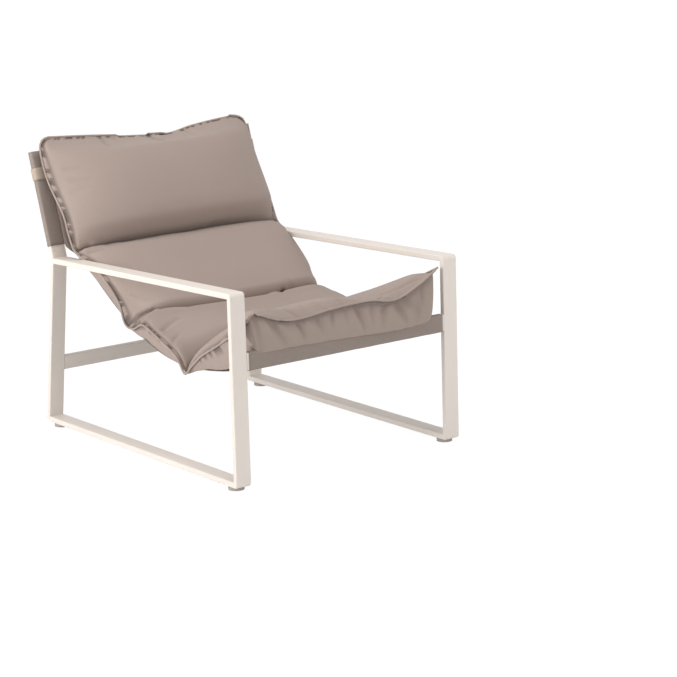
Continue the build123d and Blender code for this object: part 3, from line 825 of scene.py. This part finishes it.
under_folds = [
    (-0.93, 1216, -0.90, 1192, 8, -6),
    (-0.77, 1222, -0.66, 1200, 8, -10),
    (-0.68, 1216, -0.58, 1204, 7, 5),
    (-0.50, 1222, -0.46, 1204, 6, -10),
    (-0.41, 1216, -0.38, 1206, 7, 5),
    (-0.31, 1222, -0.27, 1208, 6, -9),
    (-0.22, 1216, -0.20, 1208, 6, 4),
    (-0.14, 1222, -0.15, 1210, 5, -8),
    (-0.02, 1222, 0.00, 1210, 5, -5),
    (0.11, 1222, 0.16, 1202, 6, -12),
    (0.20, 1216, 0.20, 1206, 7, 6),
    (0.29, 1222, 0.25, 1208, 6, -6),
    (0.42, 1222, 0.36, 1204, 7, -9),
    (0.54, 1222, 0.62, 1202, 7, -12),
    (0.62, 1222, 0.76, 1206, 6, -10),
    (0.47, 1214, 0.48, 1200, 8, 6),
    (0.82, 1214, 0.72, 1198, 9, -6),
]
# A fold loses half its height towards its end, and all of it close to the piping
fold_taper = 0.5
fold_fade = 9


def edge_gap_at(across, along):
    """Distance of a point of the flat cover from its nearest edge, in millimetres."""
    return min((1 - abs(across)) * cover_half, along, cushion_length - along)


def seam_gap_at(along):
    """Distance to the nearest stitched line."""
    return min(abs(along - seam_along) for seam_along, _, _ in seams)


def fold_height(folds, across, along):
    """How far all folds lift a point of the cover, in millimetres."""
    height = 0
    here = Vector((across * cover_half, along))
    for start_across, start_along, end_across, end_along, half_width, rise in folds:
        reach = 3 * half_width
        if not min(start_along, end_along) - reach < along < max(start_along, end_along) + reach:
            continue
        start = Vector((start_across * cover_half, start_along))
        line = Vector((end_across * cover_half, end_along)) - start
        share = min(max((here - start).dot(line) / line.dot(line), 0), 1)
        gap = (here - start - line * share).length
        taper = 1 - fold_taper * share
        height += rise * taper * math.exp(-((gap / half_width) ** 2))
    return height * min(edge_gap_at(across, along) / fold_fade, 1)


def groove_share(across, along):
    """Depth of the groove beside the piping, from 0 to 1."""
    edge_gap = edge_gap_at(across, along)
    started = min(edge_gap / groove_start, 1)
    return started * math.exp(-(((edge_gap - groove_inset) / groove_inset) ** 2))


def painted_seam_shade(across, along):
    """How deep a point lies in a seam, from 0 to 1, which sets how much painted shade darkens its
    colour.
    """
    at_edge = math.exp(-((edge_gap_at(across, along) / painted_edge_shade_width) ** 2))
    at_stitches = math.exp(-((seam_gap_at(along) / painted_stitch_shade_width) ** 2))
    return max(at_edge, painted_stitch_shade * at_stitches)


def crown_point(along):
    """Middle of the upper side, drawn down to the nearest seam."""
    for start, end, rows in crown_sections:
        if along <= end or end == cushion_length:
            break
    spot = Vector(drawn_row(rows, along))
    for seam_along, seam_spot, reach in seams:
        gap = abs(along - seam_along) / reach
        if gap < 1 and start <= seam_along <= end:
            spot = spot.lerp(Vector(seam_spot), (1 - gap) ** seam_power)
    to_front = cushion_length - along
    if along < top_close_run:
        spot = spot.lerp(Vector(top_close), (1 - along / top_close_run) ** 2)
    if to_front < front_close_run:
        spot = spot.lerp(Vector(front_close), (1 - to_front / front_close_run) ** 2)
    return spot


def cushion_spot(across, along, upper):
    """A point on the cushion's cover, in millimetres."""
    right = Vector(drawn_row(right_edge, along))
    left = Vector(drawn_row(left_edge, along))
    base = right.lerp(left, (1 + across) / 2)
    squares = drawn_row(fullness, along)
    way = drawn_row(swell_ways, along)
    if upper:
        crown = crown_point(along)
        lifts = zip(swell_places, drawn_row(swells, along))
        lift = drawn_value(lifts, across) - swell_room
        y, z = crown.x + way[0] * lift, crown.y + way[1] * lift
        full = (1 - abs(across) ** squares[0 if across < 0 else 1]) ** upper_round
    else:
        y, z = drawn_row(under_line, along)
        clear_share = min(max((clear_end - along) / clear_front_run, 0), along / clear_top_run, 1)
        clear = sling_clear * clear_share
        y, z = y + way[0] * clear, z + way[1] * clear
        full = (1 - abs(across) ** squares[2 if across < 0 else 3]) ** under_round
        hang_gap = (abs(across) - hang_place) / hang_width
        z -= drawn_value(edge_hang, along) * math.exp(-(hang_gap**2))
        droop_gap = (along - droop_place) / droop_width
        z += drawn_value(front_droop, across) * math.exp(-(droop_gap**2))
    offset = Vector((0, y - base.y, z - base.z))
    top_share = max(1 - along / top_edge_run, 0)
    front_share = max(1 - (cushion_length - along) / front_edge_run, 0)
    spot = base + offset * full * (1 - max(top_share, front_share) ** 3)
    if top_share > 0:
        spot.z += drawn_value(top_edge_line, across) * top_share**top_edge_power
    if front_share > 0:
        spot.z += drawn_value(front_edge_line, across) * front_share**front_edge_power
    return spot


# The cover is two grids, upper and under, sewn at the edge. Their columns crowd towards the
# edge, and the underside is held where it lies on the sling.
cushion_columns, cushion_rows = 80, 140
even_share, crowded_share = 0.45, 0.55
seam_hold = 30
edge_hold = 22
stitch_reach = 5
rest_start, rest_end = 60, 1165
flat_half_width = 0.33
merge_gap = 0.00002
cushion_form = bmesh.new()
flat_map = cushion_form.loops.layers.uv.new("flat")
held_layer = cushion_form.verts.layers.int.new("held")
stitched_layer = cushion_form.verts.layers.int.new("stitched")
across_layer = cushion_form.verts.layers.float.new("across")
along_layer = cushion_form.verts.layers.float.new("along")
upper_layer = cushion_form.verts.layers.float.new("upper")
for upper in (True, False):
    made = bmesh.ops.create_grid(
        cushion_form, x_segments=cushion_columns, y_segments=cushion_rows, size=1
    )
    flats = {}
    for vertex in made["verts"]:
        column_place, row_place = round(vertex.co.x, 5), round(vertex.co.y, 5)
        crowded_place = math.sin(math.pi / 2 * column_place)
        across = even_share * column_place + crowded_share * crowded_place
        along = (row_place + 1) / 2 * cushion_length
        spot = cushion_spot(across, along, upper)
        flats[vertex] = (across * flat_half_width + (0 if upper else 1), along * millimetre)
        vertex.co = spot * millimetre
        vertex[across_layer] = across
        vertex[along_layer] = along
        vertex[upper_layer] = upper
        seam_gap = seam_gap_at(along)
        at_seam = seam_gap < stitch_reach
        at_edge = abs(across) > 0.999 or along < 1 or along > cushion_length - 1
        if at_edge or (not upper and rest_start < along < rest_end):
            vertex[held_layer] = 100
        elif upper:
            edge_gap = edge_gap_at(across, along)
            held_share = max(1 - seam_gap / seam_hold, 1 - edge_gap / edge_hold, 0)
            vertex[held_layer] = int(100 * held_share)
        if at_edge or (at_seam and upper):
            vertex[stitched_layer] = 1
    for face in {face for vertex in made["verts"] for face in vertex.link_faces}:
        for loop in face.loops:
            loop[flat_map].uv = flats[loop.vert]
bmesh.ops.remove_doubles(cushion_form, verts=cushion_form.verts, dist=merge_gap)
cushion_mesh = smooth_mesh(cushion_form, "long_cushion")
crease = cushion_mesh.attributes.new("crease_edge", "FLOAT", "EDGE")
stitched = cushion_mesh.attributes["stitched"].data
for edge in cushion_mesh.edges:
    if stitched[edge.vertices[0]].value and stitched[edge.vertices[1]].value:
        crease.data[edge.index].value = 1.0
cushion = linked(cushion_mesh, "long_cushion")

# The cover is blown up from inside for a moment, held at its piping, its sewn channels and
# where it lies on the sling. The cloth is cut slightly large, so it puckers along the
# stitches. Each point goes only part of its way, because the drawn form is nearly full.
swell_frames = 20
swell_share = 0.35
move_cap = 0.022
held_group = cushion.vertex_groups.new(name="held")
marks = cushion_mesh.attributes["held"].data
for index in range(len(marks)):
    held_group.add([index], marks[index].value / 100, "REPLACE")
cloth = cushion.modifiers.new("swell", "CLOTH")
cloth.settings.quality = 6
cloth.settings.mass = 0.25
cloth.settings.tension_stiffness = 12
cloth.settings.compression_stiffness = 8
cloth.settings.shear_stiffness = 3
cloth.settings.bending_stiffness = 0.25
cloth.settings.use_pressure = True
cloth.settings.uniform_pressure_force = 4
cloth.settings.shrink_min = -0.035
cloth.settings.vertex_group_mass = "held"
cloth.settings.effector_weights.gravity = 0
cloth.collision_settings.use_collision = False
cloth.collision_settings.use_self_collision = False
cloth.point_cache.frame_start = 1
cloth.point_cache.frame_end = swell_frames
for frame_number in range(1, swell_frames + 1):
    bpy.context.scene.frame_set(frame_number)
blown = cushion.evaluated_get(bpy.context.evaluated_depsgraph_get()).data
before = [vertex.co.copy() for vertex in cushion_mesh.vertices]
ways = [blown.vertices[index].co - spot for index, spot in enumerate(before)]
cushion.modifiers.remove(cloth)
bpy.context.scene.frame_set(1)
ways = [way if way.length < move_cap else way * (move_cap / way.length) for way in ways]
for vertex, spot, way in zip(cushion_mesh.vertices, before, ways):
    vertex.co = spot + way * swell_share
finer = cushion.modifiers.new("finer", "SUBSURF")
finer.levels = 1
finer.render_levels = 1
finer_cushion = cushion.evaluated_get(bpy.context.evaluated_depsgraph_get())
finer_mesh = bpy.data.meshes.new_from_object(finer_cushion)
cushion.modifiers.remove(finer)
cushion.data = finer_mesh
cushion.vertex_groups.clear()

# Folds, stitched lines and the groove beside the piping are pressed into the finer mesh, and the cloth
# is marked where it lies deep, so its colour is darkened there with painted shade.
pucker_start = 1180
# Depth over which a sunk fold's painted shade grows, and the most painted shade a fold gets
painted_fold_shade_depth = 45
painted_fold_shade_most = 0.15
normals = [vertex.normal.copy() for vertex in finer_mesh.vertices]
finer_mesh.attributes.new("painted_seam_shade", "FLOAT", "POINT")
for index, vertex in enumerate(finer_mesh.vertices):
    across = finer_mesh.attributes["across"].data[index].value
    along = finer_mesh.attributes["along"].data[index].value
    is_upper = finer_mesh.attributes["upper"].data[index].value > 0.5
    if is_upper or along > pucker_start:
        fold = fold_height(upper_folds if is_upper else under_folds, across, along)
        lift = fold - groove_depth * groove_share(across, along)
        vertex.co += normals[index] * lift * millimetre
        # Painted shade: sunk folds and seams get a darker colour, standing in for the shade that falls
        # in them
        painted_fold_shade = min(max(-fold / painted_fold_shade_depth, 0), painted_fold_shade_most)
        dark = max(painted_seam_shade(across, along), painted_fold_shade)
        finer_mesh.attributes["painted_seam_shade"].data[index].value = dark
for attribute_name in ("held", "stitched", "across", "along", "upper", "crease_edge"):
    finer_mesh.attributes.remove(finer_mesh.attributes[attribute_name])
cushion.data.materials.append(cushion_cloth)
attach(cushion, "chair")
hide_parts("cushion")

# Piping: a cord in a strip of the cushion's cloth. It is caught in the seam between the upper
# and under cloth, and runs all round the cushion's edge.
piping_cloth = woven("piping_cloth", (0.42, 0.345, 0.305), (0.34, 0.27, 0.235), 1500.0, 0.0003, 0.35)
piping_radius = 2.8
piping_steps = 8
piping_reach = 2.2
piping_strip = 0.002
end_steps, side_steps = 60, 150


def edge_line():
    """Points of the cushion's edge from its top right corner round by the left and back."""
    route = []
    for step in range(end_steps):
        route.append(cushion_spot(-1 + 2 * step / end_steps, 0, True))
    for step in range(side_steps):
        route.append(cushion_spot(1, cushion_length * step / side_steps, True))
    for step in range(end_steps):
        route.append(cushion_spot(1 - 2 * step / end_steps, cushion_length, True))
    for step in range(side_steps):
        route.append(cushion_spot(-1, cushion_length * (1 - step / side_steps), True))
    return route


route = edge_line()
# Shares of the route at which the cord runs along the cushion's sides
side_spans = ((0.05, 0.4), (0.62, 1))
piping_form = bmesh.new()
flat_map = piping_form.loops.layers.uv.new("flat")
middle = sum(route, Vector((0, 0, 0))) / len(route)
rings = []
run = 0
for index, spot in enumerate(route):
    ahead = (route[(index + 1) % len(route)] - route[index - 1]).normalized()
    round_share = index / len(route)
    along_side = any(start < round_share < end for start, end in side_spans)
    outward = Vector((spot.x, 0, 0)) if along_side else spot - middle
    outward = (outward - ahead * outward.dot(ahead)).normalized()
    raised_way = ahead.cross(outward).normalized()
    run += (route[(index + 1) % len(route)] - spot).length
    centre = spot + outward * piping_reach
    ring = []
    for step in range(piping_steps):
        angle = 2 * math.pi * step / piping_steps
        offset = outward * math.cos(angle) + raised_way * math.sin(angle)
        ring.append(piping_form.verts.new((centre + offset * piping_radius) * millimetre))
    rings.append((ring, run))
for index in range(len(rings)):
    ring, run = rings[index]
    following, next_run = rings[(index + 1) % len(rings)]
    for step in range(piping_steps):
        corner = (step + 1) % piping_steps
        face = piping_form.faces.new((ring[step], ring[corner], following[corner], following[step]))
        places = [(run, step), (run, step + 1), (next_run, step + 1), (next_run, step)]
        for loop, (length_place, turn) in zip(face.loops, places):
            loop[flat_map].uv = (length_place * millimetre, turn * piping_strip)
piping = linked(smooth_mesh(piping_form, "cushion_piping"), "cushion_piping")
piping.data.materials.append(piping_cloth)
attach(piping, "chair")

# Strap: a woven elastic band whose ends are sewn behind the cushion's head. It runs round
# the outsides of both sleeved posts and straight across behind them.
strap_elastic = woven("strap_elastic", (0.50, 0.41, 0.34), (0.40, 0.32, 0.26), 700.0, 0.0004, 0.4)
strap_foot = (442.411, 687.668)
strap_height = 33.0
strap_thickness = 2.0
strap_lift = 1.7
strap_half = post_middle + tube_width / 2 + strap_lift
strap_depth_half = tube_thickness / 2 + strap_lift
strap_corner = 4.1
strap_open_half = 287.5


def strap_outline(place):
    """Plan of the band from one sewn end to the other, square to the posts, in millimetres."""
    corner_run = strap_corner * math.pi / 2
    front_run = strap_half - strap_corner - strap_open_half
    side_half = strap_depth_half - strap_corner
    side_run = 2 * side_half
    back_run = strap_half - strap_corner
    mirrored = 1
    half_length = front_run + side_run + back_run + 2 * corner_run
    along = place * 2 * half_length
    if along > half_length:
        along, mirrored = 2 * half_length - along, -1
    if along < front_run:
        x, depth = strap_open_half + along, -strap_depth_half
    elif along < front_run + corner_run:
        angle = (along - front_run) / strap_corner
        x = back_run + strap_corner * math.sin(angle)
        depth = -side_half - strap_corner * math.cos(angle)
    elif along < front_run + corner_run + side_run:
        x, depth = strap_half, -side_half + along - front_run - corner_run
    elif along < front_run + 2 * corner_run + side_run:
        angle = (along - front_run - corner_run - side_run) / strap_corner
        x = back_run + strap_corner * math.cos(angle)
        depth = side_half + strap_corner * math.sin(angle)
    else:
        x = back_run - (along - front_run - side_run - 2 * corner_run)
        depth = strap_depth_half
    return x * mirrored, depth, 2 * half_length * place, 2 * half_length


def strap_place(high, place):
    """A point of the band, and its place on the flat webbing."""
    x, depth, run, _ = strap_outline(place)
    lift = high * strap_height
    y = strap_foot[0] + post_up[0] * lift + post_up[1] * depth
    z = strap_foot[1] + post_up[1] * lift - post_up[0] * depth
    return Vector((x, y, z)) * millimetre, (run * millimetre, lift * millimetre)


strap_mesh = gridded("cushion_band", columns=6, rows=360, place_of=strap_place)
strap = thickened(strap_mesh, "cushion_band", strap_thickness * millimetre, offset=1.0)
strap.data.materials.append(strap_elastic)
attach(strap, "chair")
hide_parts("cushion_strap")
